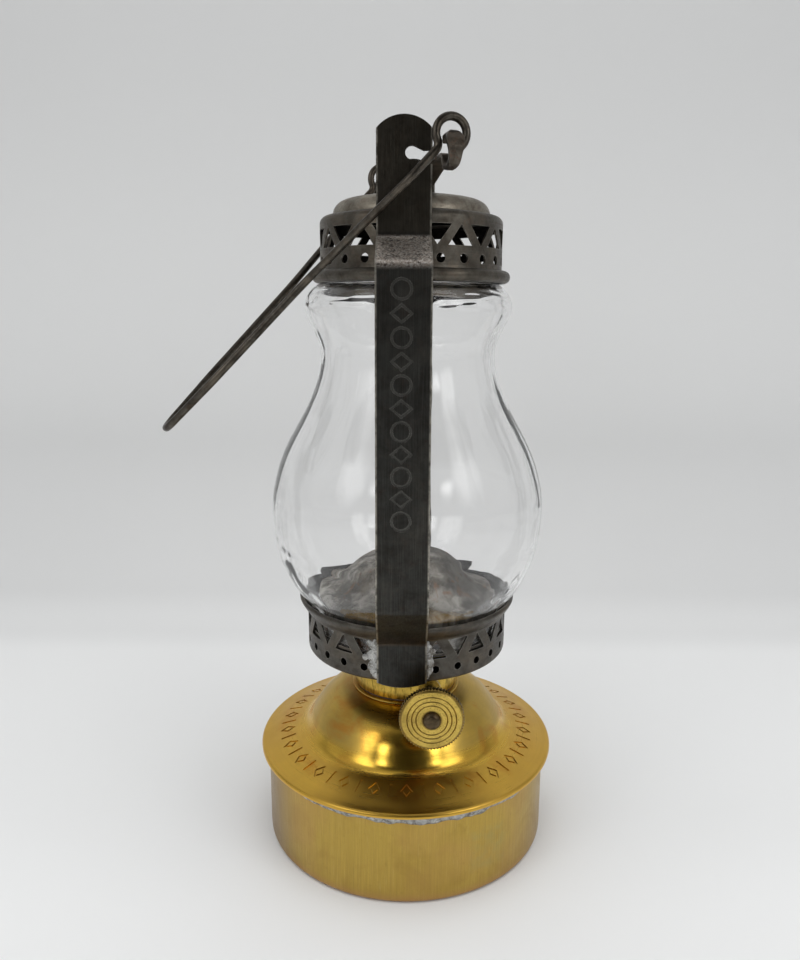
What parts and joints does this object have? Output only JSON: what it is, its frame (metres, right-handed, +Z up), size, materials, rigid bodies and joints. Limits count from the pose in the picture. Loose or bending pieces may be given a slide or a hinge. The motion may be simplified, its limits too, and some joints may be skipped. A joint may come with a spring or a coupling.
{
  "type": "oil hand lantern",
  "caption": "Small brass-font hand lantern with a flat-wick burner, glass globe, perforated gallery and cap, side straps, a turning spring bar and a wire bail.",
  "frame": {"origin": "centre of the font's underside, on the lamp's vertical axis", "axes": "+Z up along the lamp's axis; the wick knob and the marked strap face -Y; +X is to the right seen from the front"},
  "size_m": [0.0994, 0.08, 0.1815],
  "materials": {
    "brass_wall": "satin spun brass with vertical brush lines and brown tarnish at the edges",
    "brass_top": "polished spun brass",
    "brass_burner": "dull brass",
    "brass_knob": "turned, milled and pitted brass",
    "solder": "dull tin solder",
    "gasket": "oiled leather",
    "steel_shaft": "dark peened steel",
    "wick_cotton": "woven cotton, charred at the top",
    "steel_gallery": "dark heat-stained steel",
    "steel_deflector": "heat-stained steel with brown and cream patches",
    "glass": "clear blown glass, slightly wavy",
    "steel_strap": "blued spring steel with worn light edges",
    "steel_cap": "grey-brown patinated steel",
    "steel_crown": "lighter mottled steel",
    "steel_rivet": "rusty dark steel",
    "steel_spring": "rusty spring steel",
    "steel_wire": "dark drawn steel wire"
  },
  "bodies": {
    "font": {"font_cup": "brass_wall", "font_top": "brass_top", "font_seam": "solder", "font_collar": "brass_top"},
    "gasket": {"burner_gasket": "gasket"},
    "burner": {"burner_base": "brass_burner", "wick_tube": "brass_burner", "spur_housing": "brass_burner", "shaft_bush": "brass_burner", "gallery_cup": "steel_gallery", "gallery_floor": "steel_gallery", "deflector": "steel_deflector", "strap_front": "steel_strap", "strap_rear": "steel_strap", "strap_solder": "solder"},
    "knob": {"wick_shaft": "steel_shaft", "spur_wheels": "brass_burner", "wick_knob": "brass_knob"},
    "wick": {"wick": "wick_cotton"},
    "globe": {"globe": "glass"},
    "cap": {"cap_shell": "steel_cap", "cap_crown": "steel_crown", "cap_bead": "steel_cap", "cap_spigot": "steel_cap", "cap_rivet": "steel_rivet", "rivet_washer": "steel_rivet"},
    "spring_bar": {"spring_bar": "steel_spring"},
    "bail": {"bail": "steel_wire"}
  },
  "joints": [
    {"name": "burner_rise", "type": "slide", "parent": "font", "child": "gasket", "axis": [0, 0, 1], "range_m": [0, 0.0031]},
    {"name": "burner_unscrew", "type": "hinge", "parent": "gasket", "child": "burner", "pos_m": [0, 0, 0.041], "axis": [0, 0, 1], "range_deg": [0, 720]},
    {"name": "wick_turn", "type": "hinge", "parent": "burner", "child": "knob", "pos_m": [0.00575, 0, 0.0478], "axis": [0, 1, 0], "range_deg": [-65, 78]},
    {"name": "wick_slide", "type": "slide", "parent": "burner", "child": "wick", "axis": [0, 0, 1], "range_m": [-0.0051, 0.0061]},
    {"name": "globe_lift", "type": "slide", "parent": "burner", "child": "globe", "axis": [0, 0, 1], "range_m": [0, 0.011]},
    {"name": "cap_lift", "type": "slide", "parent": "globe", "child": "cap", "axis": [0, 0, 1], "range_m": [0, 0.03]},
    {"name": "bar_turn", "type": "hinge", "parent": "cap", "child": "spring_bar", "pos_m": [0.0006, 0, 0.169], "axis": [0, 0, 1], "range_deg": [-12.2, 8]},
    {"name": "bail_swing", "type": "hinge", "parent": "spring_bar", "child": "bail", "pos_m": [0.0006, 0, 0.1769], "axis": [-0.2504, 0.9681, 0], "range_deg": [-3.5, 276]}
  ],
  "couplings": [
    {"joint": "burner_rise", "follows": "burner_unscrew", "m_per_rad": 0.00023873},
    {"joint": "wick_slide", "follows": "wick_turn", "m_per_rad": 0.0044}
  ]
}
